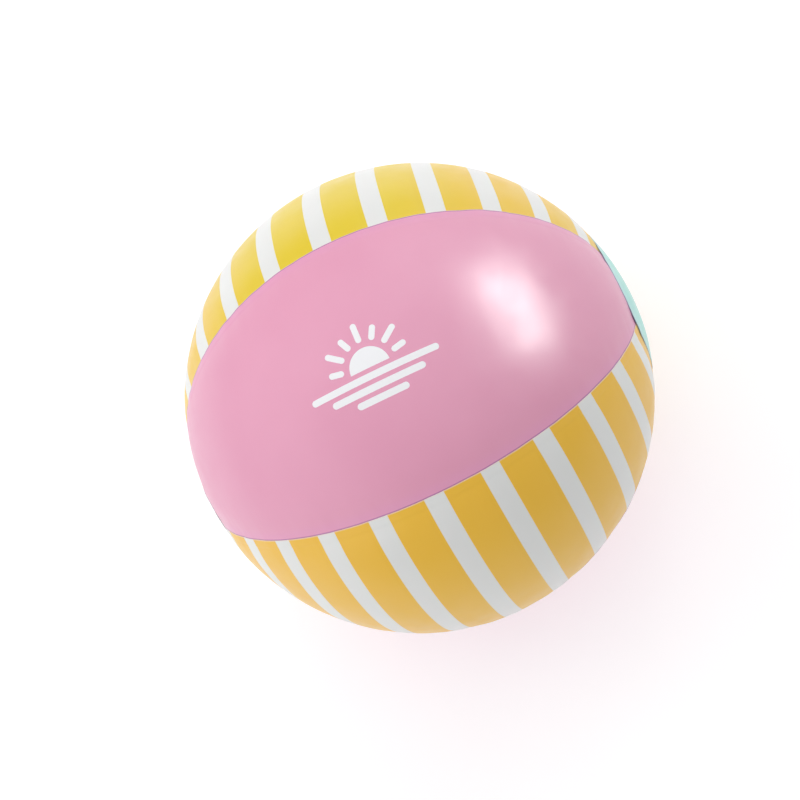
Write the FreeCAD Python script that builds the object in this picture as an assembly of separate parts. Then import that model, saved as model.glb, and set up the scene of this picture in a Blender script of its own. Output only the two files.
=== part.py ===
import FreeCAD, Part
import math
import os
from FreeCAD import Vector

# Inflatable beach ball. Six gores of thin film are lap welded edge to edge, a round cap is
# welded over each pole, and one cap carries a push-in inflation valve with a hinged plug.
# Frame: origin at the ball's centre, X through both poles with the valve at -X, and +Z
# through the middle of the first gore. Millimetres.

# ---- driving dimensions: envelope ----
ball_diameter = 325.0       # outside, fully inflated
film = 0.3                  # wall of every gore and cap
gore_count = 6
cap_across = 105.0          # straight across the cap's edge
weld_lap = 5.0              # film under its neighbour at a weld
joggle = 1.5                # film doubled on the near side of a weld line
lip_gap = 1.0               # between a side lip's end and the cap's weld
lip_blank = 4.0             # width of the blank that a side lip is cut from, in lips

# ---- driving dimensions: valve ----
bore_radius = 4.0           # takes a pump's nozzle
stem_wall = 1.8
seat_step = 0.2             # the bore's wider mouth, for the plug
stem_travel = 12.0          # how far the stem pulls out
roll_slack = 1.2            # cup of the web that is left at full pull
tail_length = 4.0           # stem inboard of the web's foot
web_wall = 0.5
flange_wall = 0.6
flange_width = 6.7          # weld face of the flange, out from the web
head_depth = 1.7            # from the ball's surface to under the plug's head
head_overhang = 0.4         # plug's head past the stem's mouth
shank_length = 5.0
knuckle_radius = 0.6        # round end of the plug's strap, on its hinge
hinge_reach = 1.3           # from the head's edge out to the hinge
strap_width = 3.6
strap_wall = 0.7
lug_width = 4.4
lug_wall = 1.2
tab_length = 2.6            # finger tab of the plug, past the head's edge
tab_width = 5.0
tab_wall = 0.8
flap_wall = 0.5             # check flap at the stem's inner end
flap_cover = 0.9            # flap past the bore's wall
root = 1.0                  # how far an added feature reaches into what carries it

# ---- fits ----
face_gap = 0.15             # between faces that meet but move apart
web_gap = 0.15              # between the web's foot and the stem
web_step = 0.2              # between the web's rim and the cap's hole
knuckle_gap = 0.1           # between a knuckle and what it turns beside
plug_gap = 0.3              # between the plug's shank and its seat
swing_gap = 0.4             # between the shank's tip and the seat as the plug swings out
seat_gap = 1.0              # between the shank's tip and the narrow bore
finger_room = 2.4           # between the hinge and the cap's hole
foot_room = 2.2             # between the stem and the web's deep end

# ---- worked out ----
ball_radius = ball_diameter / 2
cap_angle = math.asin(cap_across / 2 / ball_radius)
lap_angle = weld_lap / ball_radius
joggle_angle = joggle / ball_radius
gore_angle = 360.0 / gore_count
stem_radius = bore_radius + stem_wall
seat_radius = bore_radius + seat_step
head_radius = stem_radius + head_overhang
shank_radius = seat_radius - plug_gap
hinge_offset = head_radius + hinge_reach
cap_hole_radius = hinge_offset + knuckle_radius + finger_room
web_radius = cap_hole_radius - web_step
web_foot_radius = stem_radius + foot_room
flange_radius = web_radius + flange_width
stem_top = head_depth + face_gap
hinge_depth = stem_top - knuckle_radius + knuckle_gap
shank_end = head_depth + shank_length
seat_end = shank_end + seat_gap
web_top = film + ball_radius - math.sqrt(ball_radius ** 2 - web_radius ** 2)
web_foot = web_top + stem_travel + roll_slack
stem_end = web_foot + tail_length
axis_x = Vector(1, 0, 0)
centre = Vector(0, 0, 0)


def at(radius, angle):
    """Point of the XZ plane at a radius, and an angle in radians from the +X pole."""
    return Vector(radius * math.cos(angle), 0, radius * math.sin(angle))


def arc(radius, start, end):
    """Edge round the ball's centre in the XZ plane."""
    return Part.Arc(at(radius, start), at(radius, (start + end) / 2), at(radius, end)).toShape()


def line(start, end):
    return Part.LineSegment(start, end).toShape()


def turned(edges, angle=360.0):
    """Solid swept by a closed outline of the XZ plane round the pole axis."""
    return Part.Face(Part.Wire(edges)).revolve(centre, axis_x, angle)


def turn(shape, degrees):
    shape.rotate(centre, axis_x, degrees)
    return shape


def deep(depth, radius):
    """Point of the XZ plane at a depth below the valve pole, and a radius from the axis."""
    return Vector(depth - ball_radius, 0, radius)


def valve_ring(points):
    """Solid turned from straight lines, each point a depth and a radius."""
    corners = [deep(*p) for p in points]
    return turned([line(a, b) for a, b in zip(corners, corners[1:] + corners[:1])])


def valve_block(depths, widths, heights):
    """Box by its lowest and highest depth, Y and Z."""
    size = [high - low for low, high in (depths, widths, heights)]
    corner = Vector(depths[0] - ball_radius, widths[0], heights[0])
    return Part.makeBox(*size, corner)


def valve_rod(radius, width, depth, height):
    """Round rod along Y, centred on it, for a hinge."""
    start = Vector(depth - ball_radius, -width / 2, height)
    return Part.makeCylinder(radius, width, start, Vector(0, 1, 0))


def gore(index):
    """One film panel: a slice of the sphere from cap to cap, with a lip stepped down by one
    film under each cap and along the side that its neighbour overlaps."""
    outer, middle, inner = ball_radius, ball_radius - film, ball_radius - 2 * film
    low, high = cap_angle, math.pi - cap_angle
    near, far = low + joggle_angle, high - joggle_angle
    tip, tail = low - lap_angle, high + lap_angle
    slice_ = turned([
        arc(outer, low, high),
        line(at(outer, high), at(middle, high)),
        arc(middle, high, tail),
        line(at(middle, tail), at(inner, tail)),
        arc(inner, tail, far),
        line(at(inner, far), at(middle, far)),
        arc(middle, far, near),
        line(at(middle, near), at(inner, near)),
        arc(inner, near, tip),
        line(at(inner, tip), at(middle, tip)),
        arc(middle, tip, low),
        line(at(middle, low), at(outer, low)),
    ], gore_angle)
    turn(slice_, -gore_angle / 2)
    start = near + lip_gap / ball_radius
    end = math.pi - start
    reach = lip_blank * math.degrees(lap_angle) / math.sin(start)
    band = turned([
        arc(middle, start, end),
        line(at(middle, end), at(inner, end)),
        arc(inner, end, start),
        line(at(inner, start), at(middle, start)),
    ], 2 * reach)
    turn(band, -reach)
    strip = Part.makeBox(2 * ball_radius, weld_lap + joggle, ball_radius,
                         Vector(-ball_radius, -weld_lap, 0))
    lip = turn(band.common(strip), gore_angle / 2)
    return turn(slice_.fuse(lip).removeSplitter(), index * gore_angle)


def plain_cap():
    """Round film disc over the ends of the gores at +X."""
    outer, inner = ball_radius, ball_radius - film
    return turned([
        arc(outer, 0, cap_angle),
        line(at(outer, cap_angle), at(inner, cap_angle)),
        arc(inner, cap_angle, 0),
        line(at(inner, 0), at(outer, 0)),
    ])


def ring_cap(outer, wall, hole_radius, edge_angle):
    """Spherical washer round the valve's axis at -X, its hole straight along the axis."""
    inner = outer - wall
    edge = math.pi - edge_angle
    outer_hole = math.pi - math.asin(hole_radius / outer)
    inner_hole = math.pi - math.asin(hole_radius / inner)
    return turned([
        arc(outer, edge, outer_hole),
        line(at(outer, outer_hole), at(inner, inner_hole)),
        arc(inner, inner_hole, edge),
        line(at(inner, edge), at(outer, edge)),
    ])


def valve_cap():
    return ring_cap(ball_radius, film, cap_hole_radius, cap_angle)


def valve_flange():
    """Moulded washer, welded to the inside of the valve cap."""
    outer = ball_radius - film
    return ring_cap(outer, flange_wall, web_radius, math.asin(flange_radius / outer))


def valve_web():
    """Thin cup from the flange's hole down to the stem. It rolls out as the stem is pulled."""
    floor = web_foot - web_wall
    return valve_ring([
        (web_top, web_radius),
        (web_foot, web_foot_radius),
        (web_foot, stem_radius + web_gap),
        (floor, stem_radius + web_gap),
        (floor, web_foot_radius - web_wall),
        (web_top, web_radius - web_wall),
    ])


def valve_stem():
    """Tube with a stepped bore. A lug at its mouth holds the plug's hinge, and one at its
    inner end holds the flap's."""
    tube = valve_ring([
        (stem_top, seat_radius),
        (stem_top, stem_radius),
        (stem_end, stem_radius),
        (stem_end, bore_radius),
        (seat_end, bore_radius),
        (seat_end, seat_radius),
    ])
    lug_top = hinge_depth + knuckle_radius + knuckle_gap
    lug = valve_block((lug_top, lug_top + lug_wall), (-lug_width / 2, lug_width / 2),
                      (stem_radius - root, hinge_offset + knuckle_radius))
    return tube.fuse(lug).removeSplitter()


def valve_plug():
    """Stopper with a tapered shank, a finger tab, and the strap that it hinges on. Its top
    follows the ball's own curve, so it lies flush, and its shank tapers by what it needs to
    swing clear of the seat."""
    swing = hinge_offset + seat_radius - swing_gap
    tip_radius = math.sqrt(swing ** 2 - (shank_end - hinge_depth) ** 2) - hinge_offset
    rim = math.pi - math.asin(head_radius / ball_radius)
    head = turned([
        arc(ball_radius, rim, math.pi),
        line(at(ball_radius, math.pi), deep(head_depth, 0)),
        line(deep(head_depth, 0), deep(head_depth, head_radius)),
        line(deep(head_depth, head_radius), at(ball_radius, rim)),
    ])
    shank = valve_ring([
        (head_depth, 0),
        (head_depth, shank_radius),
        (shank_end, tip_radius),
        (shank_end, 0),
    ])
    half = strap_width / 2
    strap = valve_block((hinge_depth - strap_wall / 2, hinge_depth + strap_wall / 2),
                        (-half, half), (head_radius - root, hinge_offset))
    knuckle = valve_rod(knuckle_radius, strap_width, hinge_depth, hinge_offset)
    tab = valve_block((head_depth - tab_wall, head_depth), (-tab_width / 2, tab_width / 2),
                      (-head_radius - tab_length, -head_radius + root))
    return head.multiFuse([shank, strap, knuckle, tab]).removeSplitter()


def valve_flap():
    """Check flap: a disc over the stem's inner end, on a round edge that it swings on."""
    top = stem_end + face_gap
    radius = bore_radius + flap_cover
    disc = Part.makeCylinder(radius, flap_wall, deep(top, 0), axis_x)
    half = strap_width / 2
    tongue = valve_block((top, top + flap_wall), (-half, half), (0, radius))
    knuckle = valve_rod(flap_wall / 2, strap_width, top + flap_wall / 2, radius)
    return disc.multiFuse([tongue, knuckle]).removeSplitter()


os.makedirs("parts", exist_ok=True)
pieces = {
    "end_cap_plain": plain_cap(),
    "end_cap_valve": valve_cap(),
    "valve_flange": valve_flange(),
    "valve_web": valve_web(),
    "valve_stem": valve_stem(),
    "valve_plug": valve_plug(),
    "valve_flap": valve_flap(),
}
for index in range(gore_count):
    kind = "striped" if index % 2 else "pink"
    pieces[f"panel_{kind}_{index // 2 + 1}"] = gore(index)
for node, shape in pieces.items():
    shape.exportStep(f"parts/{node}.step")
    print(f"{node}: {len(shape.Solids)} solid, {shape.Volume:.1f} mm3, valid {shape.isValid()}")
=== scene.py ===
import math

import bmesh
import bpy
from mathutils import Matrix, Vector


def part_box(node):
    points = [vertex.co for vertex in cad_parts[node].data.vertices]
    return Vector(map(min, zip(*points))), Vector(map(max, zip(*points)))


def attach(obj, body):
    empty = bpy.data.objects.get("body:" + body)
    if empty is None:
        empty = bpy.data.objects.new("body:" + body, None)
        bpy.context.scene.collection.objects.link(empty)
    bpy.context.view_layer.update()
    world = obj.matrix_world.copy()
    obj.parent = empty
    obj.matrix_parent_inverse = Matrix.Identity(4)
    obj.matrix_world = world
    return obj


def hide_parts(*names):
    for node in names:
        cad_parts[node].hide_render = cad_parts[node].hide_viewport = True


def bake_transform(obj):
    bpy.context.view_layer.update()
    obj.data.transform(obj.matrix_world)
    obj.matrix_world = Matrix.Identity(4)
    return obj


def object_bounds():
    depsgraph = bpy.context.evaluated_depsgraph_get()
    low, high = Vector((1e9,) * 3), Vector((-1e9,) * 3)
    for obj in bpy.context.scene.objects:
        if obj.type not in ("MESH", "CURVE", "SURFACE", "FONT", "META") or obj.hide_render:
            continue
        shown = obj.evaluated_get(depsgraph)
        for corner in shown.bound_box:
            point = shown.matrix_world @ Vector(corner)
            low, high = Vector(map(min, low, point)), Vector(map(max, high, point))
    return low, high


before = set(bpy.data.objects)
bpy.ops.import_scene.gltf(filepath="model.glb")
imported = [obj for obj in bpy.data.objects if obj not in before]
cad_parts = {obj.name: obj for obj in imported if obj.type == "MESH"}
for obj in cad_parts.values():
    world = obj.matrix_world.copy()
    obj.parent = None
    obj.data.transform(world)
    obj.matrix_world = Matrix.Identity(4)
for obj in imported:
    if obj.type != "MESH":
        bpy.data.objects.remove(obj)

cad_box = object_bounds()
ball_radius = cad_box[1][0]

# ---- Stage: floor, studio lights and camera ----
# The ball stands on a plain pale floor in soft light. The camera looks down on it, rolled so
# that the pole axis rises to the right. Directions here are right, up and towards the camera.
pole_rise = math.radians(25.56)
pole_tilt = math.radians(6.33)
gore_turn = math.radians(-10.97)
camera_distance = 4.6 * ball_radius

pole = Vector((math.cos(pole_tilt) * math.cos(pole_rise),
               math.cos(pole_tilt) * math.sin(pole_rise), math.sin(pole_tilt)))
facing = (Vector((0, 0, 1)) - pole * math.sin(pole_tilt)).normalized()
front = Matrix.Rotation(gore_turn, 3, pole) @ facing
row_from_view = Matrix((pole, front.cross(pole), front))


def placed_facing(name, data, direction, distance, up=(0, 1, 0)):
    """Object at a distance along a view direction, looking at the ball's centre."""
    back = (row_from_view @ Vector(direction)).normalized()
    right = (row_from_view @ Vector(up)).cross(back).normalized()
    turn = Matrix((right, back.cross(right), back)).transposed().to_4x4()
    piece = bpy.data.objects.new(name, data)
    piece.matrix_world = Matrix.Translation(back * distance) @ turn
    bpy.context.collection.objects.link(piece)
    return piece


camera_data = bpy.data.cameras.new("camera")
camera_data.sensor_width = 36.0
camera_data.lens = 47.56
camera_data.shift_x = -0.0251
camera_data.shift_y = -0.0024
camera = placed_facing("camera", camera_data, (0, 0, 1), camera_distance)
bpy.context.scene.camera = camera


def softbox(name, direction, distance, size, watts, colour=(1, 1, 1), up=(0, 1, 0)):
    """Rectangular studio light that faces the ball."""
    lamp = bpy.data.lights.new(name, "AREA")
    lamp.shape = "RECTANGLE"
    lamp.size, lamp.size_y = size
    lamp.energy = watts
    lamp.color = colour
    return placed_facing(name, lamp, direction, distance, up)


window = softbox("window_box", (0.585, 0.565, 0.52), distance=0.95, size=(0.39, 0.62), watts=13.6,
                 colour=(0.92, 1.03, 0.96), up=(-0.554, 0.775, -0.304))
window.visible_diffuse = False      # it only shines in the film, and the sheets do the lighting
for name, direction, watts in (("key_sheet", (-0.5, 0.5, 0.7), 9.0),
                               ("left_sheet", (-1.0, 0.0, 0.45), 9.8),
                               ("top_sheet", (0.1, 1.0, 0.45), 12.9),
                               ("low_sheet", (-0.7, -0.75, 0.4), 8.1)):
    softbox(name, direction, distance=2.2, size=(1.8, 1.8), watts=watts)
softbox("front_sheet", (0.0, 0.12, 1.0), distance=2.6, size=(2.2, 2.2), watts=8.2)

world = bpy.data.worlds.new("studio")
world.use_nodes = True
sky = world.node_tree.nodes["Background"]
sky.inputs["Color"].default_value = (0.97, 0.985, 1.0, 1)
sky.inputs["Strength"].default_value = 0.52
bpy.context.scene.world = world
bpy.context.scene.view_settings.view_transform = "Standard"

floor_mesh = bpy.data.meshes.new("floor")
floor_half, floor_gap = 3.0, 0.0006
floor_mesh.from_pydata([(x * floor_half, y * floor_half, -ball_radius - floor_gap)
                        for x, y in ((-1, -1), (1, -1), (1, 1), (-1, 1))], [], [(0, 1, 2, 3)])
floor_paint = bpy.data.materials.new("floor_paint")
floor_paint.use_nodes = True
floor_shader = floor_paint.node_tree.nodes["Principled BSDF"]
floor_shader.inputs["Base Color"].default_value = (0.93, 0.93, 0.93, 1)
floor_shader.inputs["Roughness"].default_value = 0.8
floor_shader.inputs["Emission Color"].default_value = (1.0, 1.0, 1.0, 1)
floor_shader.inputs["Emission Strength"].default_value = 0.20
floor_mesh.materials.append(floor_paint)
floor = bpy.data.objects.new("floor", floor_mesh)
bpy.context.collection.objects.link(floor)

# ---- Film: what all the vinyl has in common ----
# Calendered soft PVC sheet, 0.3 mm thick: slightly milky, with a faint cloudiness in its
# colour, a fine roller grain, and light scuffs from sand and handling.


def put(tree, kind, **settings):
    """New node in a tree, with its properties set."""
    made = tree.nodes.new(kind)
    for key, value in settings.items():
        setattr(made, key, value)
    return made


def feed(tree, socket, value):
    """Joins another socket to this one, or sets it."""
    if isinstance(value, bpy.types.NodeSocket):
        tree.links.new(value, socket)
    else:
        socket.default_value = value


def reckon(tree, operation, *values):
    """Result of a Math node."""
    made = put(tree, "ShaderNodeMath", operation=operation)
    for socket, value in zip(made.inputs, values):
        feed(tree, socket, value)
    return made.outputs[0]


def ramp(tree, value, start, end, low=0.0, high=1.0, kind="SMOOTHSTEP"):
    """Value mapped from start..end to low..high, held flat outside."""
    made = put(tree, "ShaderNodeMapRange", interpolation_type=kind)
    for key, given in (("Value", value), ("From Min", start), ("From Max", end),
                       ("To Min", low), ("To Max", high)):
        feed(tree, made.inputs[key], given)
    return made.outputs["Result"]


def noise(tree, vector, scale, detail=2.0, roughness=0.5, seed=None):
    """Smooth noise of about 0..1, or another of the same kind for each seed."""
    made = put(tree, "ShaderNodeTexNoise")
    if seed is not None:
        made.noise_dimensions = "4D"
        feed(tree, made.inputs["W"], seed)
    feed(tree, made.inputs["Vector"], vector)
    for key, given in (("Scale", scale), ("Detail", detail), ("Roughness", roughness)):
        feed(tree, made.inputs[key], given)
    return made.outputs["Fac"]


def group_of(name, kind, inputs, outputs):
    """Empty node group with named sockets: (group, its input node, its output node)."""
    group = bpy.data.node_groups.new(name, kind)
    for socket, socket_type, value in inputs:
        made = group.interface.new_socket(socket, in_out="INPUT", socket_type=socket_type)
        if value is not None:
            made.default_value = value
    for socket, socket_type in outputs:
        group.interface.new_socket(socket, in_out="OUTPUT", socket_type=socket_type)
    return group, put(group, "NodeGroupInput"), put(group, "NodeGroupOutput")


film_finish, given, made = group_of(
    "film finish", "ShaderNodeTree",
    [("Roughness", "NodeSocketFloat", 0.34), ("Scuffs", "NodeSocketFloat", 0.5)],
    [("Cloud", "NodeSocketFloat"), ("Roughness", "NodeSocketFloat"), ("Height", "NodeSocketFloat")])
cloud_scale, scuff_scale, patch_scale, grain_scale = 16.0, 38.0, 70.0, 1500.0      # lumps per metre
place = put(film_finish, "ShaderNodeTexCoord").outputs["Object"]
cloud = noise(film_finish, place, cloud_scale, 4.0, 0.55)
feed(film_finish, made.inputs["Cloud"], cloud)
streaks = put(film_finish, "ShaderNodeMapping")
streaks.inputs["Scale"].default_value = (90.0, 620.0, 480.0)
streaks.inputs["Rotation"].default_value = (0.3, 0.5, 0.9)
feed(film_finish, streaks.inputs["Vector"], place)
fine = noise(film_finish, streaks.outputs["Vector"], 1.0, 3.0, 0.6)
scuffed = ramp(film_finish, noise(film_finish, place, scuff_scale, 3.0), 0.50, 0.68)
scratches = reckon(film_finish, "MULTIPLY", ramp(film_finish, fine, 0.60, 0.70), scuffed)
scratches = reckon(film_finish, "MULTIPLY", scratches, given.outputs["Scuffs"])
patches = ramp(film_finish, noise(film_finish, place, patch_scale, 3.0), 0.3, 0.7, -0.05, 0.05, "LINEAR")
rough = reckon(film_finish, "ADD", given.outputs["Roughness"], patches)
rough = reckon(film_finish, "MULTIPLY_ADD", scratches, 0.24, rough)
feed(film_finish, made.inputs["Roughness"], rough)
grain = noise(film_finish, place, grain_scale, 2.0, 0.6)
height = reckon(film_finish, "MULTIPLY_ADD", scratches, -0.6, grain)
feed(film_finish, made.inputs["Height"], height)


def film_material(name, paint, roughness=0.34, scuffs=0.5):
    """Vinyl film. paint(tree, cloud) gives the colour's socket."""
    material = bpy.data.materials.new(name)
    material.use_nodes = True
    tree = material.node_tree
    shader = tree.nodes["Principled BSDF"]
    finish = put(tree, "ShaderNodeGroup", node_tree=film_finish)
    finish.inputs["Roughness"].default_value = roughness
    finish.inputs["Scuffs"].default_value = scuffs
    feed(tree, shader.inputs["Base Color"], paint(tree, finish.outputs["Cloud"]))
    feed(tree, shader.inputs["Roughness"], finish.outputs["Roughness"])
    bump = put(tree, "ShaderNodeBump")
    bump.inputs["Strength"].default_value = 0.09
    bump.inputs["Distance"].default_value = 0.00012
    feed(tree, bump.inputs["Height"], finish.outputs["Height"])
    feed(tree, shader.inputs["Normal"], bump.outputs["Normal"])
    shader.inputs["IOR"].default_value = 1.47
    shader.inputs["Subsurface Weight"].default_value = 0.12
    shader.inputs["Subsurface Radius"].default_value = (0.004, 0.002, 0.002)
    shader.inputs["Subsurface Scale"].default_value = 1.0
    return material


# ---- Gores: the six printed film panels ----
# Each gore is cut flat like a lens, printed on the inside, and lap welded to the next one:
# its lip goes under its neighbour, whose edge lies on top. Air pressure rounds it out.
cap_angle = math.asin(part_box("end_cap_plain")[1][1] / ball_radius)
film = ball_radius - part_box("end_cap_plain")[0][0] / math.cos(cap_angle)
gore_count = 6
gore_half = math.pi / gore_count
weld_lap = 0.005
stripe_pitch = 0.0373
white_band = 0.0129
print_edge = 0.00012        # half the width over which ink gives way to bare film
stripe_bow = 0.33
swell_scale, swell_height = 3.2, 0.0005     # broad unevenness of a film under pressure
crowding_along, crowding_across = 1.35, 1.9     # how closely the mesh is packed near the welds
fold_stretch = 0.12         # folds run across a weld, so they change slowly away from it
cap_fold_seed = 3.0
lap_fade = 1.35             # an edge on top of its neighbour sinks back over this many laps
tuck_depth, tuck_share = 1.25, 0.12     # a lip drops this many films, over this share of its width


def mixed(tree, share, first, second):
    """Colour between two others."""
    made = put(tree, "ShaderNodeMix", data_type="RGBA")
    feed(tree, made.inputs["Factor"], share)
    feed(tree, made.inputs[6], first)       # the Mix node's colour sockets A, B and Result
    feed(tree, made.inputs[7], second)
    return made.outputs[2]


# The colour deepens towards a weld, where the film is doubled, and ends in a thin painted line: a painted
# shadow of the lap's edge where the line is dark, a painted highlight where it is pale.
weld_shade, given, made = group_of(
    "weld shade", "ShaderNodeTree",
    [("Colour", "NodeSocketColor", (0.8, 0.8, 0.8, 1)), ("Away", "NodeSocketFloat", 1.0),
     ("Deep Colour", "NodeSocketColor", (0.7, 0.7, 0.7, 1)), ("Deep Share", "NodeSocketFloat", 0.26),
     ("Deep Reach", "NodeSocketFloat", 0.010), ("Line Colour", "NodeSocketColor", (0.3, 0.3, 0.3, 1)),
     ("Line Share", "NodeSocketFloat", 0.75), ("Line Start", "NodeSocketFloat", 0.0004),
     ("Line End", "NodeSocketFloat", 0.0010)],
    [("Colour", "NodeSocketColor")])
of = given.outputs
near_weld = ramp(weld_shade, of["Away"], 0.0, of["Deep Reach"], of["Deep Share"], 0.0)
# thin line of painted light at the weld: painted shadow where its colour is dark, painted highlight where
# it is pale
on_line = ramp(weld_shade, of["Away"], of["Line Start"], of["Line End"], of["Line Share"], 0.0)
deepened = mixed(weld_shade, near_weld, of["Colour"], of["Deep Colour"])
feed(weld_shade, made.inputs["Colour"], mixed(weld_shade, on_line, deepened, of["Line Colour"]))


def with_weld(tree, colour, **values):
    """Colour of film that is welded along its edges, from the weld shade's own inputs."""
    shade = put(tree, "ShaderNodeGroup", node_tree=weld_shade)
    feed(tree, shade.inputs["Colour"], colour)
    feed(tree, shade.inputs["Away"], put(tree, "ShaderNodeAttribute", attribute_name="weld").outputs["Fac"])
    for key, value in values.items():
        feed(tree, shade.inputs[key.replace("_", " ").title()], value)
    return shade.outputs["Colour"]


def joined(tree, x, y, z):
    """Vector from its three parts."""
    made = put(tree, "ShaderNodeCombineXYZ")
    for socket, value in zip(made.inputs, (x, y, z)):
        feed(tree, socket, value)
    return made.outputs[0]


def fading(tree, distance, reach):
    """1 at a line, falling to nothing at about twice the reach."""
    share = reckon(tree, "DIVIDE", distance, reach)
    return reckon(tree, "EXPONENT", reckon(tree, "MULTIPLY", reckon(tree, "MULTIPLY", share, share), -1.0))


relief_inputs = [
    ("Radius", "NodeSocketFloat", ball_radius), ("Cap Angle", "NodeSocketFloat", cap_angle),
    ("Lap", "NodeSocketFloat", weld_lap),
    ("Valley", "NodeSocketFloat", 0.0007), ("Valley Reach", "NodeSocketFloat", 0.011),
    ("Proud", "NodeSocketFloat", 0.00018), ("Pucker", "NodeSocketFloat", 0.00040),
    ("Pucker Pitch", "NodeSocketFloat", 0.013), ("Pucker Reach", "NodeSocketFloat", 0.020),
    ("Swell", "NodeSocketFloat", swell_height),
]


def puckers(tree, given, line_vector, away, seed):
    """Small folds across a weld, where flat film is drawn in to make the ball round."""
    to_full = 4.0               # the noise strays about a quarter from its middle
    pitch = reckon(tree, "DIVIDE", 1.0, given.outputs["Pucker Pitch"])
    wave = reckon(tree, "SUBTRACT", noise(tree, line_vector, pitch, 1.5, 0.5, seed), 0.5)
    depth = reckon(tree, "MULTIPLY", wave, reckon(tree, "MULTIPLY", given.outputs["Pucker"], to_full))
    return reckon(tree, "MULTIPLY", depth, fading(tree, away, given.outputs["Pucker Reach"]))


gore_tree, given, made = group_of(
    "gore", "GeometryNodeTree",
    relief_inputs + [
        ("Film", "NodeSocketFloat", film), ("Half Angle", "NodeSocketFloat", gore_half),
        ("Index", "NodeSocketInt", 0),
        ("Columns", "NodeSocketInt", 145), ("Rows", "NodeSocketInt", 241),
        ("Stripe Bow", "NodeSocketFloat", stripe_bow), ("Thin Ink", "NodeSocketFloat", 0.0),
        ("Material", "NodeSocketMaterial", None)],
    [("Geometry", "NodeSocketGeometry")])
t, of = gore_tree, given.outputs
lip_columns, end_rows = 4, 3
grid = put(t, "GeometryNodeMeshGrid")
feed(t, grid.inputs["Vertices X"], of["Columns"])
feed(t, grid.inputs["Vertices Y"], of["Rows"])
spot = put(t, "ShaderNodeSeparateXYZ")
feed(t, spot.inputs[0], put(t, "GeometryNodeInputPosition").outputs[0])
lip_share = reckon(t, "DIVIDE", float(lip_columns), reckon(t, "SUBTRACT", of["Columns"], 1.0))
end_share = reckon(t, "DIVIDE", float(end_rows), reckon(t, "SUBTRACT", of["Rows"], 1.0))
u = reckon(t, "ADD", spot.outputs["X"], 0.5)
v = reckon(t, "ADD", spot.outputs["Y"], 0.5)
main_u = ramp(t, u, 0.0, reckon(t, "SUBTRACT", 1.0, lip_share), -1.0, 1.0, "LINEAR")
lip = ramp(t, u, reckon(t, "SUBTRACT", 1.0, lip_share), 1.0, 0.0, 1.0, "LINEAR")
main_v = ramp(t, v, end_share, reckon(t, "SUBTRACT", 1.0, end_share), -1.0, 1.0, "LINEAR")
tip = ramp(t, v, end_share, 0.0, 0.0, 1.0, "LINEAR")
tail = ramp(t, v, reckon(t, "SUBTRACT", 1.0, end_share), 1.0, 0.0, 1.0, "LINEAR")


def crowded(tree, value, power):
    """-1..1 onto itself, with more of the points near the ends."""
    rest = reckon(tree, "SUBTRACT", 1.0, reckon(tree, "ABSOLUTE", value))
    rest = reckon(tree, "SUBTRACT", 1.0, reckon(tree, "POWER", rest, power))
    return reckon(tree, "MULTIPLY", rest, reckon(tree, "SIGN", value))


lap_angle = reckon(t, "DIVIDE", of["Lap"], of["Radius"])
middle_to_cap = reckon(t, "SUBTRACT", math.pi / 2, of["Cap Angle"])
latitude = reckon(t, "MULTIPLY", crowded(t, main_v, crowding_along), middle_to_cap)
end = reckon(t, "ADD", tip, tail)
main_latitude = latitude
latitude = reckon(t, "MULTIPLY_ADD", reckon(t, "SUBTRACT", tail, tip), lap_angle, latitude)
ring = reckon(t, "COSINE", latitude)
main_longitude = reckon(t, "MULTIPLY", crowded(t, main_u, crowding_across), of["Half Angle"])
longitude = reckon(t, "MULTIPLY_ADD", lip, reckon(t, "DIVIDE", lap_angle, ring), main_longitude)
side = reckon(t, "SIGN", main_longitude)
from_side = reckon(t, "SUBTRACT", of["Half Angle"], reckon(t, "ABSOLUTE", main_longitude))
from_side = reckon(t, "MULTIPLY", from_side, reckon(t, "MULTIPLY", ring, of["Radius"]))
from_cap = reckon(t, "SUBTRACT", middle_to_cap, reckon(t, "ABSOLUTE", main_latitude))
from_cap = reckon(t, "MULTIPLY", from_cap, of["Radius"])
from_weld = reckon(t, "MINIMUM", from_side, from_cap)
turn = reckon(t, "MULTIPLY", of["Index"], reckon(t, "MULTIPLY", of["Half Angle"], 2.0))
around = reckon(t, "ADD", longitude, turn)

valley = reckon(t, "ADD", fading(t, from_side, of["Valley Reach"]), fading(t, from_cap, of["Valley Reach"]))
relief = reckon(t, "MULTIPLY", valley, reckon(t, "MULTIPLY", of["Valley"], -1.0))
on_top = reckon(t, "LESS_THAN", side, 0.0)
band = ramp(t, from_side, of["Lap"], reckon(t, "MULTIPLY", of["Lap"], lap_fade), 1.0, 0.0)
band = reckon(t, "MULTIPLY", band, on_top)
relief = reckon(t, "MULTIPLY_ADD", band, of["Proud"], relief)
# both gores at a seam give it the same number, so that their folds match
seam = reckon(t, "MULTIPLY_ADD", side, 0.5, of["Index"])
seam = reckon(t, "FLOORED_MODULO", reckon(t, "ADD", seam, float(gore_count)), float(gore_count))
along = reckon(t, "MULTIPLY", latitude, of["Radius"])
side_folds = puckers(t, given, joined(t, along, reckon(t, "MULTIPLY", from_side, fold_stretch), 0.0),
                     from_side, seam)
relief = reckon(t, "ADD", relief, side_folds)
rim = reckon(t, "MULTIPLY", reckon(t, "SINE", of["Cap Angle"]), of["Radius"])
rim_y = reckon(t, "MULTIPLY", reckon(t, "SINE", around), rim)
rim_z = reckon(t, "MULTIPLY", reckon(t, "COSINE", around), rim)
pole_side = reckon(t, "MULTIPLY", reckon(t, "SIGN", latitude), cap_fold_seed)
cap_folds = puckers(t, given, joined(t, reckon(t, "MULTIPLY", from_cap, fold_stretch), rim_y, rim_z),
                    from_cap, pole_side)
relief = reckon(t, "ADD", relief, cap_folds)
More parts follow.
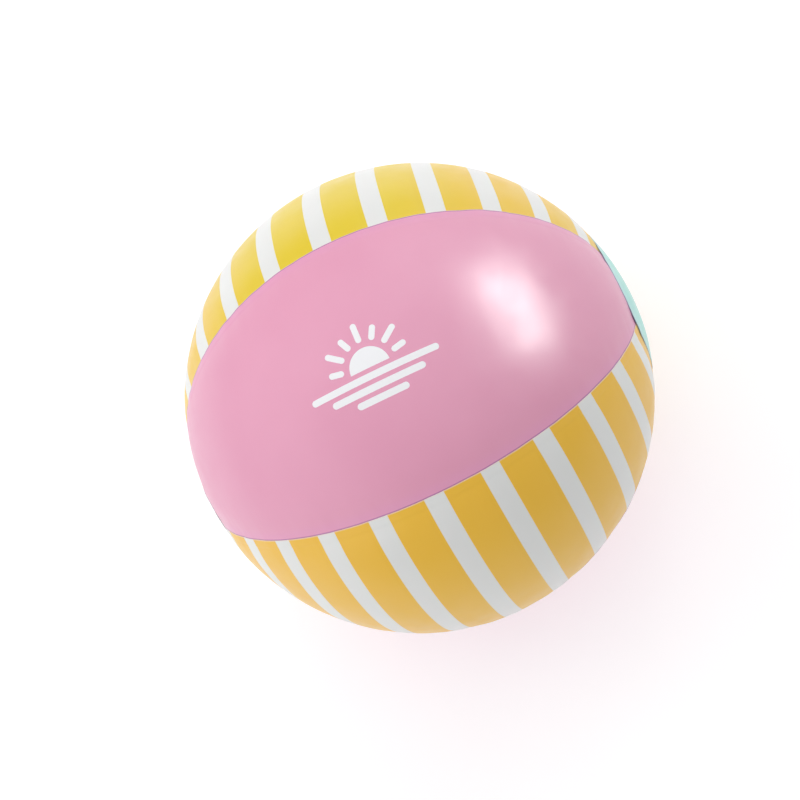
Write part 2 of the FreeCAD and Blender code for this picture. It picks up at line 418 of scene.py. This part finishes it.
out = joined(t, reckon(t, "SINE", latitude),
             reckon(t, "MULTIPLY", reckon(t, "MULTIPLY", reckon(t, "SINE", around), ring), -1.0),
             reckon(t, "MULTIPLY", reckon(t, "COSINE", around), ring))
swell = reckon(t, "SUBTRACT", noise(t, out, swell_scale, 1.0), 0.5)
relief = reckon(t, "MULTIPLY_ADD", swell, of["Swell"], relief)
under = reckon(t, "MAXIMUM", ramp(t, lip, 0.0, tuck_share), ramp(t, end, 0.0, tuck_share))
step = reckon(t, "MULTIPLY", of["Film"], -tuck_depth)
relief = reckon(t, "MULTIPLY_ADD", under, step, relief)
radius = reckon(t, "ADD", of["Radius"], relief)
scaled = put(t, "ShaderNodeVectorMath", operation="SCALE")
feed(t, scaled.inputs[0], out)
feed(t, scaled.inputs["Scale"], radius)

# a straight print on the flat gore bows a little once the film is round
bowed = reckon(t, "MULTIPLY", reckon(t, "TANGENT", main_latitude), reckon(t, "COSINE", main_longitude))
bowed = reckon(t, "SUBTRACT", reckon(t, "ARCTANGENT", bowed), main_latitude)
printed = reckon(t, "SUBTRACT", main_latitude, reckon(t, "MULTIPLY", bowed, of["Stripe Bow"]))


def stored(tree, geometry, name, kind, domain, value):
    """Geometry with a named attribute, which is a UV map if it is 2-D on corners."""
    made = put(tree, "GeometryNodeStoreNamedAttribute", data_type=kind, domain=domain)
    feed(tree, made.inputs["Geometry"], geometry)
    made.inputs["Name"].default_value = name
    feed(tree, made.inputs["Value"], value)
    return made.outputs["Geometry"]


across = reckon(t, "MULTIPLY", reckon(t, "MULTIPLY", main_longitude, ring), of["Radius"])
flat_place = joined(t, across, reckon(t, "MULTIPLY", printed, of["Radius"]), 0.0)
geometry = stored(t, grid.outputs["Mesh"], "flat", "FLOAT2", "CORNER", flat_place)
geometry = stored(t, geometry, "weld", "FLOAT", "POINT", from_weld)
end_thinness = reckon(t, "MULTIPLY", of["Thin Ink"], 0.4)       # painted light: the yellow is painted palest in the gore's middle, where the light falls, and less towards its ends
thinness = ramp(t, reckon(t, "ABSOLUTE", main_latitude), 0.2, 0.8, of["Thin Ink"], end_thinness)
geometry = stored(t, geometry, "thin_ink", "FLOAT", "POINT", thinness)
placed = put(t, "GeometryNodeSetPosition")
feed(t, placed.inputs["Geometry"], geometry)
feed(t, placed.inputs["Position"], scaled.outputs[0])
smooth = put(t, "GeometryNodeSetShadeSmooth")
feed(t, smooth.inputs["Geometry"], placed.outputs["Geometry"])
paint = put(t, "GeometryNodeSetMaterial")
feed(t, paint.inputs["Geometry"], smooth.outputs["Geometry"])
feed(t, paint.inputs["Material"], of["Material"])
real = put(t, "GeometryNodeRealizeInstances")
feed(t, real.inputs["Geometry"], paint.outputs["Geometry"])
feed(t, made.inputs["Geometry"], real.outputs["Geometry"])


def grown(name, tree, wall=film, flat=None, **inputs):
    """Plain object with the mesh that a Geometry Nodes tree makes from its inputs, given a wall."""
    seed = bpy.data.objects.new(name + "_seed", flat or bpy.data.meshes.new(name + "_seed"))
    bpy.context.collection.objects.link(seed)
    nodes = seed.modifiers.new("shape", "NODES")
    nodes.node_group = tree
    for item in tree.interface.items_tree:
        if item.item_type == "SOCKET" and item.in_out == "INPUT":
            key = item.name.replace(" ", "_").lower()
            if key in inputs:
                nodes[item.identifier] = inputs.pop(key)
    assert not inputs, f"{tree.name} has no input {list(inputs)}"
    if wall:
        skin = seed.modifiers.new("wall", "SOLIDIFY")
        skin.thickness = wall
        skin.offset = -1.0
    shown = seed.evaluated_get(bpy.context.evaluated_depsgraph_get())
    mesh = bpy.data.meshes.new_from_object(shown)
    mesh.name = name
    seed.modifiers.clear()
    bpy.data.objects.remove(seed)
    piece = bpy.data.objects.new(name, mesh)
    bpy.context.collection.objects.link(piece)
    return piece


def pink_paint(tree, cloud):
    base = mixed(tree, cloud, (0.800, 0.322, 0.470, 1), (0.850, 0.362, 0.510, 1))
    # the dark line colour is a painted shadow along the lap's edge
    return with_weld(tree, base, deep_colour=(0.80, 0.33, 0.62, 1), line_colour=(0.36, 0.13, 0.34, 1))


def striped_paint(tree, cloud):
    """Yellow ink printed across a white ground, in bands square to the gore's length."""
    place = put(tree, "ShaderNodeUVMap", uv_map="flat").outputs["UV"]
    split = put(tree, "ShaderNodeSeparateXYZ")
    feed(tree, split.inputs[0], place)
    away = reckon(tree, "PINGPONG", split.outputs["Y"], stripe_pitch / 2)
    ink = ramp(tree, away, white_band / 2 - print_edge, white_band / 2 + print_edge, kind="LINEAR")
    golden = mixed(tree, cloud, (0.895, 0.485, 0.030, 1), (0.940, 0.525, 0.055, 1))
    lemon = mixed(tree, cloud, (0.785, 0.555, 0.012, 1), (0.835, 0.600, 0.035, 1))
    thin = put(tree, "ShaderNodeAttribute", attribute_name="thin_ink").outputs["Fac"]
    # painted light: the yellow is painted paler, towards lemon, where light falls on the ball's top panel
    yellow = mixed(tree, thin, golden, lemon)
    white = mixed(tree, cloud, (0.79, 0.765, 0.745, 1), (0.83, 0.805, 0.785, 1))
    base = mixed(tree, ink, white, yellow)
    # the pale line colour is a painted highlight along the weld
    return with_weld(tree, base, deep_share=0.0, line_colour=(0.90, 0.72, 0.62, 1), line_share=0.55,
                     line_start=0.0002, line_end=0.0009)


pink_film = film_material("pink_film", pink_paint)
striped_film = film_material("striped_film", striped_paint)
thin_ink = (0.0, 0.0, 0.0, 0.5, 0.0, 1.0)      # how far each gore's yellow is painted paler, from golden to lemon, for light falling on it: most on the top panel, none on the bottom one
for index in range(gore_count):
    kind = "striped" if index % 2 else "pink"
    node = f"panel_{kind}_{index // 2 + 1}"
    film_of = striped_film if index % 2 else pink_film
    # each striped gore gets its share of painted light, which pales its yellow
    gore = grown(f"gore_{kind}_{index // 2 + 1}", gore_tree, index=index, thin_ink=thin_ink[index],
                 material=film_of)
    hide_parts(node)
    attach(gore, "envelope")

# ---- End caps: round patches over the gores' tips ----
# Each end is closed by a disc of mint film welded over the tips of the six gores. The one at
# the valve end has a hole, and a ring of fine ridges where it is welded to the valve's flange.
cap_hole, cap_ridge = 0.0105, 0.00034
cap_weld_ring = 0.0176
ridge_pitch = 0.0013
ridges_from, ridges_to = (0.0108, 0.0114), (0.0164, 0.0174)
calm_reach, swell_start = 0.020, 0.045      # the stiff flange keeps the middle of a cap round
cap_tree, given, made = group_of(
    "cap", "GeometryNodeTree",
    relief_inputs + [
        ("Pole", "NodeSocketFloat", 1.0), ("Hole", "NodeSocketFloat", 0.0),
        ("Edge", "NodeSocketFloat", ball_radius * math.sin(cap_angle)),
        ("Weld Ring", "NodeSocketFloat", cap_weld_ring), ("Ridge", "NodeSocketFloat", 0.0),
        ("Below", "NodeSocketFloat", 0.0), ("Columns", "NodeSocketInt", 241),
        ("Rows", "NodeSocketInt", 91), ("Material", "NodeSocketMaterial", None)],
    [("Geometry", "NodeSocketGeometry")])
t, of = cap_tree, given.outputs
ring_share = 0.4
grid = put(t, "GeometryNodeMeshGrid")
feed(t, grid.inputs["Vertices X"], of["Columns"])
feed(t, grid.inputs["Vertices Y"], of["Rows"])
spot = put(t, "ShaderNodeSeparateXYZ")
feed(t, spot.inputs[0], put(t, "GeometryNodeInputPosition").outputs[0])
around = reckon(t, "MULTIPLY", reckon(t, "MULTIPLY", spot.outputs["X"], -2 * math.pi), of["Pole"])
v = reckon(t, "ADD", spot.outputs["Y"], 0.5)
inner, middle, outer = (reckon(t, "ARCSINE", reckon(t, "DIVIDE", of[key], of["Radius"]))
                        for key in ("Hole", "Weld Ring", "Edge"))
polar = reckon(t, "ADD", ramp(t, v, 0.0, ring_share, inner, middle, "LINEAR"),
               ramp(t, v, ring_share, 1.0, 0.0, reckon(t, "SUBTRACT", outer, middle), "LINEAR"))
from_axis = reckon(t, "MULTIPLY", reckon(t, "SINE", polar), of["Radius"])
from_rim = reckon(t, "MULTIPLY", reckon(t, "SUBTRACT", of["Cap Angle"], polar), of["Radius"])
rim = reckon(t, "MULTIPLY", reckon(t, "SINE", of["Cap Angle"]), of["Radius"])
rim_y = reckon(t, "MULTIPLY", reckon(t, "SINE", around), rim)
rim_z = reckon(t, "MULTIPLY", reckon(t, "COSINE", around), rim)
relief = reckon(t, "MULTIPLY", fading(t, from_rim, of["Valley Reach"]),
                reckon(t, "MULTIPLY", of["Valley"], -1.0))
band = ramp(t, from_rim, of["Lap"], reckon(t, "MULTIPLY", of["Lap"], lap_fade), 1.0, 0.0)
relief = reckon(t, "MULTIPLY_ADD", band, of["Proud"], relief)
folds = puckers(t, given, joined(t, reckon(t, "MULTIPLY", from_rim, fold_stretch), rim_y, rim_z),
                from_rim, reckon(t, "MULTIPLY", of["Pole"], cap_fold_seed))
relief = reckon(t, "ADD", relief, folds)
out = joined(t, reckon(t, "MULTIPLY", reckon(t, "COSINE", polar), of["Pole"]),
             reckon(t, "MULTIPLY", reckon(t, "MULTIPLY", reckon(t, "SINE", around),
                                          reckon(t, "SINE", polar)), -1.0),
             reckon(t, "MULTIPLY", reckon(t, "COSINE", around), reckon(t, "SINE", polar)))
swell = reckon(t, "SUBTRACT", noise(t, out, swell_scale, 1.0), 0.5)
swell = reckon(t, "MULTIPLY", swell, ramp(t, from_axis, calm_reach, swell_start))
relief = reckon(t, "MULTIPLY_ADD", swell, of["Swell"], relief)
wave = reckon(t, "SINE", reckon(t, "MULTIPLY", from_axis, 2 * math.pi / ridge_pitch))
wave = reckon(t, "MULTIPLY_ADD", wave, 0.35, 0.65)
ring_band = reckon(t, "MULTIPLY", ramp(t, from_axis, *ridges_from),
                   ramp(t, from_axis, *ridges_to, 1.0, 0.0))
relief = reckon(t, "MULTIPLY_ADD", reckon(t, "MULTIPLY", wave, ring_band), of["Ridge"], relief)
relief = reckon(t, "SUBTRACT", relief, of["Below"])
scaled = put(t, "ShaderNodeVectorMath", operation="SCALE")
feed(t, scaled.inputs[0], out)
feed(t, scaled.inputs["Scale"], reckon(t, "ADD", of["Radius"], relief))
geometry = stored(t, grid.outputs["Mesh"], "weld", "FLOAT", "POINT", from_rim)
placed = put(t, "GeometryNodeSetPosition")
feed(t, placed.inputs["Geometry"], geometry)
feed(t, placed.inputs["Position"], scaled.outputs[0])
closed = put(t, "GeometryNodeMergeByDistance")
feed(t, closed.inputs["Geometry"], placed.outputs["Geometry"])
closed.inputs["Distance"].default_value = 2e-6
smooth = put(t, "GeometryNodeSetShadeSmooth")
feed(t, smooth.inputs["Geometry"], closed.outputs["Geometry"])
paint = put(t, "GeometryNodeSetMaterial")
feed(t, paint.inputs["Geometry"], smooth.outputs["Geometry"])
feed(t, paint.inputs["Material"], of["Material"])
real = put(t, "GeometryNodeRealizeInstances")
feed(t, real.inputs["Geometry"], paint.outputs["Geometry"])
feed(t, made.inputs["Geometry"], real.outputs["Geometry"])


def mint_paint(tree, cloud):
    base = mixed(tree, cloud, (0.355, 0.750, 0.690, 1), (0.410, 0.800, 0.735, 1))
    # the dark line colour is a painted shadow along the cap's lapped edge
    return with_weld(tree, base, deep_colour=(0.58, 0.72, 0.80, 1), line_colour=(0.26, 0.22, 0.34, 1))


mint_film = film_material("mint_film", mint_paint)
for node, pole_sign, hole, ridge in (("end_cap_plain", 1.0, 0.0, 0.0),
                                     ("end_cap_valve", -1.0, cap_hole, cap_ridge)):
    cap = grown(node + "_film", cap_tree, pole=pole_sign, hole=hole, ridge=ridge, material=mint_film)
    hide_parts(node)
    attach(cap, "envelope")

# ---- Print: a half sun over a horizon ----
# One plain white motif in the middle of the front pink panel, screen printed with thick ink
# that stands a few hundredths of a millimetre proud of the film.
ink_height, ink_wall = 0.00006, 0.00004


def stroke(mesh, start, end, width, steps):
    """Bar with round ends on the flat print, from start to end."""
    start, end = Vector(start), Vector(end)
    along = (end - start).normalized()
    side = Vector((-along.y, along.x))
    length, half = (end - start).length, width / 2
    previous = None
    bends = 6                   # steps round each end
    stops = [-half * math.cos(math.pi / 2 * i / bends) for i in range(bends)]
    stops += [length * i / steps for i in range(steps + 1)]
    stops += [length + half * math.sin(math.pi / 2 * (i + 1) / bends) for i in range(bends)]
    for stop in stops:
        over = max(-stop, stop - length, 0.0)
        reach = math.sqrt(max(half * half - over * over, 0.0))
        row = [mesh.verts.new((*(start + along * stop + side * reach * share), 0.0))
               for share in (-1, -0.33, 0.33, 1)]
        if previous:
            for i in range(3):
                mesh.faces.new((previous[i], row[i], row[i + 1], previous[i + 1]))
        previous = row


sun = bmesh.new()
sun_radius = 0.0120
rings, spokes = 6, 48
rows = [[sun.verts.new((sun_radius * r / rings * math.cos(math.pi * i / spokes),
                        sun_radius * r / rings * math.sin(math.pi * i / spokes), 0.0))
         for i in range(spokes + 1)] for r in range(rings + 1)]
for low, high in zip(rows, rows[1:]):
    for i in range(spokes):
        sun.faces.new((low[i], high[i], high[i + 1], low[i + 1]))
ray_count, ray_width = 7, 0.0036
ray_start, short_ray, long_ray = 0.0172, 0.0228, 0.0258
for ray in range(ray_count):
    angle = math.pi * (ray + 0.5) / ray_count
    reach = Vector((math.cos(angle), math.sin(angle)))
    stroke(sun, reach * ray_start, reach * (long_ray if ray % 2 else short_ray), ray_width, 6)
bar_width = 0.0040
for drop, half_width in ((0.0046, 0.040), (0.0112, 0.029), (0.0178, 0.016)):
    half_run = half_width - bar_width / 2
    stroke(sun, (-half_run, -drop), (half_run, -drop), bar_width, 30)
motif_drop = 0.0035
for vertex in sun.verts:
    vertex.co.y -= motif_drop
bmesh.ops.remove_doubles(sun, verts=sun.verts, dist=1e-6)
flat_sun = bpy.data.meshes.new("flat_sun")
sun.to_mesh(flat_sun)
sun.free()

ink_tree, given, made = group_of(
    "ink on film", "GeometryNodeTree",
    [("Flat", "NodeSocketGeometry", None), ("Radius", "NodeSocketFloat", ball_radius),
     ("Swell", "NodeSocketFloat", swell_height), ("Height", "NodeSocketFloat", ink_height),
     ("Material", "NodeSocketMaterial", None)],
    [("Geometry", "NodeSocketGeometry")])
t, of = ink_tree, given.outputs
spot = put(t, "ShaderNodeSeparateXYZ")
feed(t, spot.inputs[0], put(t, "GeometryNodeInputPosition").outputs[0])
latitude = reckon(t, "DIVIDE", spot.outputs["X"], of["Radius"])
lean = reckon(t, "DIVIDE", spot.outputs["Y"], of["Radius"])
out = joined(t, reckon(t, "SINE", latitude),
             reckon(t, "MULTIPLY", reckon(t, "SINE", lean), reckon(t, "COSINE", latitude)),
             reckon(t, "MULTIPLY", reckon(t, "COSINE", lean), reckon(t, "COSINE", latitude)))
swell = reckon(t, "SUBTRACT", noise(t, out, swell_scale, 1.0), 0.5)
height = reckon(t, "MULTIPLY_ADD", swell, of["Swell"], of["Height"])
scaled = put(t, "ShaderNodeVectorMath", operation="SCALE")
feed(t, scaled.inputs[0], out)
feed(t, scaled.inputs["Scale"], reckon(t, "ADD", of["Radius"], height))
placed = put(t, "GeometryNodeSetPosition")
feed(t, placed.inputs["Geometry"], of["Flat"])
feed(t, placed.inputs["Position"], scaled.outputs[0])
smooth = put(t, "GeometryNodeSetShadeSmooth")
feed(t, smooth.inputs["Geometry"], placed.outputs["Geometry"])
real = put(t, "GeometryNodeRealizeInstances")
feed(t, real.inputs["Geometry"], smooth.outputs["Geometry"])
paint = put(t, "GeometryNodeSetMaterial")
feed(t, paint.inputs["Geometry"], real.outputs["Geometry"])
feed(t, paint.inputs["Material"], of["Material"])
feed(t, made.inputs["Geometry"], paint.outputs["Geometry"])


def ink_paint(tree, cloud):
    return mixed(tree, cloud, (0.95, 0.94, 0.96, 1), (0.99, 0.98, 1.0, 1))


white_ink = film_material("white_ink", ink_paint, roughness=0.42, scuffs=0.3)
motif = grown("printed_sun", ink_tree, wall=ink_wall, flat=flat_sun, material=white_ink)
motif.data.set_sharp_from_angle(angle=math.radians(30))
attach(motif, "envelope")

# ---- Valve: flange and folding web ----
# The valve is moulded in soft clear-white PVC. Its flange is welded under the cap round the
# hole. The web is a thin funnel from the flange in to the stem, made in one rest shape; the real one turns
# over as the stem pulls out.
def vinyl_paint(tree, cloud):
    return mixed(tree, cloud, (0.74, 0.79, 0.81, 1), (0.80, 0.84, 0.86, 1))


valve_vinyl = film_material("valve_vinyl", vinyl_paint, roughness=0.26, scuffs=0.15)
shader = valve_vinyl.node_tree.nodes["Principled BSDF"]
shader.inputs["Subsurface Weight"].default_value = 0.45
shader.inputs["Subsurface Radius"].default_value = (0.003, 0.003, 0.003)

flange_box, web_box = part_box("valve_flange"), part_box("valve_web")
flange_wall, flange_gap = 0.0006, 0.00002
rim_reach, flange_ring = 0.0103, 0.0140
flange = grown("valve_flange_ring", cap_tree, wall=flange_wall, pole=-1.0, hole=rim_reach,
               edge=flange_box[1][1], weld_ring=flange_ring, below=film + flange_gap, rows=31,
               material=valve_vinyl)
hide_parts("valve_flange")
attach(flange, "envelope")


def softened(corners, steps=5):
    """Profile with each corner (depth, radius, fillet) rounded off."""
    points = []
    count = len(corners)
    for i, (depth, reach, fillet) in enumerate(corners):
        here = Vector((depth, reach))
        if not fillet or i in (0, count - 1):
            points.append(here)
            continue
        before = Vector(corners[i - 1][:2]) - here
        after = Vector(corners[i + 1][:2]) - here
        angle = before.angle(after)
        back = min(fillet / math.tan(angle / 2), before.length * 0.49, after.length * 0.49)
        first, last = here + before.normalized() * back, here + after.normalized() * back
        for k in range(steps + 1):
            share = k / steps
            points.append(first * (1 - share) ** 2 + here * 2 * share * (1 - share) + last * share ** 2)
    return points


def lathed(mesh, profile, around=96):
    """Closed profile of (depth from the pole, radius) turned about the pole axis."""
    rings = []
    for i in range(around):
        angle = 2 * math.pi * i / around
        rings.append([mesh.verts.new((-ball_radius + depth, reach * math.cos(angle),
                                      reach * math.sin(angle))) for depth, reach in profile])
    for i, ring in enumerate(rings):
        following = rings[(i + 1) % around]
        for j in range(len(profile)):
            k = (j + 1) % len(profile)
            mesh.faces.new((ring[j], ring[k], following[k], following[j]))


def finished(name, mesh, material, voxel=None, smoothing=3):
    """Object from a bmesh: merged, turned outward and, given a voxel, fused into one moulding."""
    bmesh.ops.remove_doubles(mesh, verts=mesh.verts, dist=1e-7)
    bmesh.ops.dissolve_degenerate(mesh, edges=mesh.edges, dist=1e-8)
    bmesh.ops.recalc_face_normals(mesh, faces=mesh.faces)
    data = bpy.data.meshes.new(name)
    mesh.to_mesh(data)
    mesh.free()
    piece = bpy.data.objects.new(name, data)
    bpy.context.collection.objects.link(piece)
    if voxel:
        fuse = piece.modifiers.new("fuse", "REMESH")
        fuse.mode = "VOXEL"
        fuse.voxel_size = voxel
        ease = piece.modifiers.new("ease", "SMOOTH")
        ease.factor, ease.iterations = 0.5, smoothing
        shown = piece.evaluated_get(bpy.context.evaluated_depsgraph_get())
        fused = bpy.data.meshes.new_from_object(shown)
        fused.name = name
        piece.modifiers.clear()
        piece.data = fused
    piece.data.materials.clear()
    piece.data.materials.append(material)
    piece.data.shade_smooth()
    return piece


web_rim, web_foot = web_box[0][0] + ball_radius, web_box[1][0] + ball_radius
outline = bmesh.new()
rows, floor_rows = 56, 8
foot_reach, inner_reach, wall = 0.0080, 0.00595, 0.0005
outer_side, inner_side = [], []
for i in range(rows + 1):
    share = i / rows
    depth, reach = web_rim + (web_foot - web_rim) * share, rim_reach + (foot_reach - rim_reach) * share
    outer_side.append(Vector((depth, reach)))
    inner_side.append(Vector((min(depth, web_foot - wall), reach - wall)))
floor_outer = [Vector((web_foot, foot_reach + (inner_reach - foot_reach) * i / floor_rows))
               for i in range(1, floor_rows + 1)]
floor_inner = [Vector((web_foot - wall, point.y)) for point in floor_outer if point.y < foot_reach - wall]
lathed(outline, outer_side + floor_outer + floor_inner[::-1] + inner_side[::-1], 120)
web = finished("valve_web_funnel", outline, valve_vinyl)
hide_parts("valve_web")
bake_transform(web)

# ---- Valve: stem ----
# A short moulded tube that is pushed into the ball once it is full. Its mouth is a hair wider
# than its bore, to seat the plug, and a lug beside the mouth carries the plug's strap.


def block(mesh, depths, ys, zs, round_by=0.00025):
    """Box between two depths from the valve's pole, with its edges rounded."""
    box = bmesh.ops.create_cube(mesh, size=1.0)
    low = Vector((-ball_radius + depths[0], ys[0], zs[0]))
    high = Vector((-ball_radius + depths[1], ys[1], zs[1]))
    for vertex in box["verts"]:
        vertex.co = Vector(low[i] + (vertex.co[i] + 0.5) * (high[i] - low[i]) for i in range(3))
    edges = list({edge for vertex in box["verts"] for edge in vertex.link_edges})
    bmesh.ops.bevel(mesh, geom=edges, offset=round_by, segments=3, profile=0.5, affect="EDGES")


stem_box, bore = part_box("valve_stem"), 0.0040
stem_top, stem_end = stem_box[0][0] + ball_radius, stem_box[1][0] + ball_radius
stem_reach, seat, seat_end, bore_start = 0.0058, 0.0042, 0.0077, 0.010
waist = stem_reach - 0.0002
tube = bmesh.new()
collar, collar_reach = web_foot - wall, stem_reach + 0.0008
lathed(tube, softened([
    # bore and seat, from inside out to the mouth
    (bore_start, bore, 0), (seat_end, bore, 0.0002), (seat_end - 0.0004, seat, 0.0004),
    (stem_top, seat, 0.0004),
    # lip of the mouth, then the waist
    (stem_top, stem_reach, 0.0005), (stem_top + 0.0015, stem_reach, 0.0004),
    (stem_top + 0.0017, waist, 0.0003), (collar - 0.0009, waist, 0.0006),
    # collar, with a groove that holds the web's foot
    (collar - 0.0004, collar_reach, 0.0003), (collar, collar_reach, 0.0002),
    (collar, stem_reach, 0.00005), (web_foot, stem_reach, 0.00005), (web_foot, collar_reach, 0.0002),
    (web_foot + 0.0006, collar_reach, 0.0003), (web_foot + 0.0009, stem_reach, 0.0003),
    # inner end, and back up the bore
    (stem_end, stem_reach, 0.0006), (stem_end, bore, 0.0004), (bore_start, bore, 0)]))
lug_depths, lug_half, lug_run = (0.00205, 0.00325), 0.0022, (0.0048, 0.0081)
block(tube, lug_depths, (-lug_half, lug_half), lug_run, 0.0004)
stem = finished("valve_stem_tube", tube, valve_vinyl, voxel=0.00015, smoothing=4)
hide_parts("valve_stem")
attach(stem, "stem")

# ---- Valve: plug ----
# The stopper hangs on the stem by a thin strap. It is pulled out by its tab, which has three
# ribs for a fingernail, and its short tapered shank is pressed back in to seal the bore.
plug_head, head_depth, shank_top, shank_end, shank_tip = 0.0062, 0.0017, 0.0039, 0.0067, 0.00245
crown = plug_head ** 2 / (2 * ball_radius)          # keeps the flat head inside the ball's round
dish, dish_reach = crown + 0.00022, 0.0040
plug = bmesh.new()
lathed(plug, softened([
    (dish, 0.0, 0), (dish, dish_reach, 0.0004), (crown, dish_reach + 0.0004, 0.0004),
    (crown, plug_head, 0.00055), (head_depth, plug_head, 0.0004), (head_depth, shank_top, 0.0004),
    (head_depth + 0.0012, shank_top, 0.0004), (head_depth + 0.0018, shank_top - 0.0003, 0.0004),
    (shank_end, shank_tip, 0.0005), (shank_end, 0.0, 0)]))
strap_half, strap_run = 0.0018, (0.0052, 0.0074)
tab_half, tab_run = 0.0025, (-0.0088, -0.0052)
block(plug, (0.0010, head_depth), (-strap_half, strap_half), strap_run)
block(plug, (0.0009, head_depth), (-tab_half, tab_half), tab_run, 0.0003)
knuckle, knuckle_depth, knuckle_offset = 0.0006, 0.00135, 0.0075
bmesh.ops.create_cone(plug, cap_ends=True, segments=32, radius1=knuckle, radius2=knuckle,
                      depth=2 * strap_half,
                      matrix=Matrix.Translation((-ball_radius + knuckle_depth, 0, knuckle_offset))
                      @ Matrix.Rotation(math.pi / 2, 4, "X"))

rib_tree, given, made = group_of(
    "tab ribs", "GeometryNodeTree",
    [("Count", "NodeSocketInt", 3), ("First", "NodeSocketVector", (-ball_radius + 0.00092, 0.0, -0.0084)),
     ("Pitch", "NodeSocketVector", (0.0, 0.0, 0.0008)), ("Length", "NodeSocketFloat", 0.0040),
     ("Thickness", "NodeSocketFloat", 0.00022), ("Material", "NodeSocketMaterial", None)],
    [("Geometry", "NodeSocketGeometry")])
t, of = rib_tree, given.outputs
line = put(t, "GeometryNodeMeshLine")
feed(t, line.inputs["Count"], of["Count"])
feed(t, line.inputs["Start Location"], of["First"])
feed(t, line.inputs["Offset"], of["Pitch"])
rib = put(t, "GeometryNodeMeshCylinder")
rib.inputs["Vertices"].default_value = 12
feed(t, rib.inputs["Radius"], of["Thickness"])
feed(t, rib.inputs["Depth"], of["Length"])
each = put(t, "GeometryNodeInstanceOnPoints")
feed(t, each.inputs["Points"], line.outputs["Mesh"])
feed(t, each.inputs["Instance"], rib.outputs["Mesh"])
each.inputs["Rotation"].default_value = (math.pi / 2, 0, 0)
real = put(t, "GeometryNodeRealizeInstances")
feed(t, real.inputs["Geometry"], each.outputs["Instances"])
paint = put(t, "GeometryNodeSetMaterial")
feed(t, paint.inputs["Geometry"], real.outputs["Geometry"])
feed(t, paint.inputs["Material"], of["Material"])
feed(t, made.inputs["Geometry"], paint.outputs["Geometry"])
ribs = grown("tab_ribs", rib_tree, wall=0, material=valve_vinyl)
plug.from_mesh(ribs.data)
bpy.data.objects.remove(ribs)

stopper = finished("valve_plug_stopper", plug, valve_vinyl, voxel=0.00011, smoothing=6)
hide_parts("valve_plug")
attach(stopper, "plug")

# ---- Valve: check flap ----
# A thin soft disc over the stem's inner end, held at one edge. Air going in pushes it open,
# and the pressure in the ball closes it.
flap_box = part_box("valve_flap")
flap_top, flap_foot = flap_box[0][0] + ball_radius, flap_box[1][0] + ball_radius
flap_reach, pin, pin_length = 0.0049, 0.00025, 0.0036
flap_middle = (flap_top + flap_foot) / 2
leaf = bmesh.new()
lathed(leaf, softened([
    (flap_top, 0.0, 0), (flap_top, flap_reach, 0.00018), (flap_foot, flap_reach, 0.00018),
    (flap_foot, 0.0, 0)]))
bmesh.ops.create_cone(leaf, cap_ends=True, segments=24, radius1=pin, radius2=pin, depth=pin_length,
                      matrix=Matrix.Translation((-ball_radius + flap_middle, 0, flap_reach))
                      @ Matrix.Rotation(math.pi / 2, 4, "X"))
flap = finished("valve_flap_leaf", leaf, valve_vinyl, voxel=0.00012, smoothing=1)
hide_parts("valve_flap")
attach(flap, "flap")
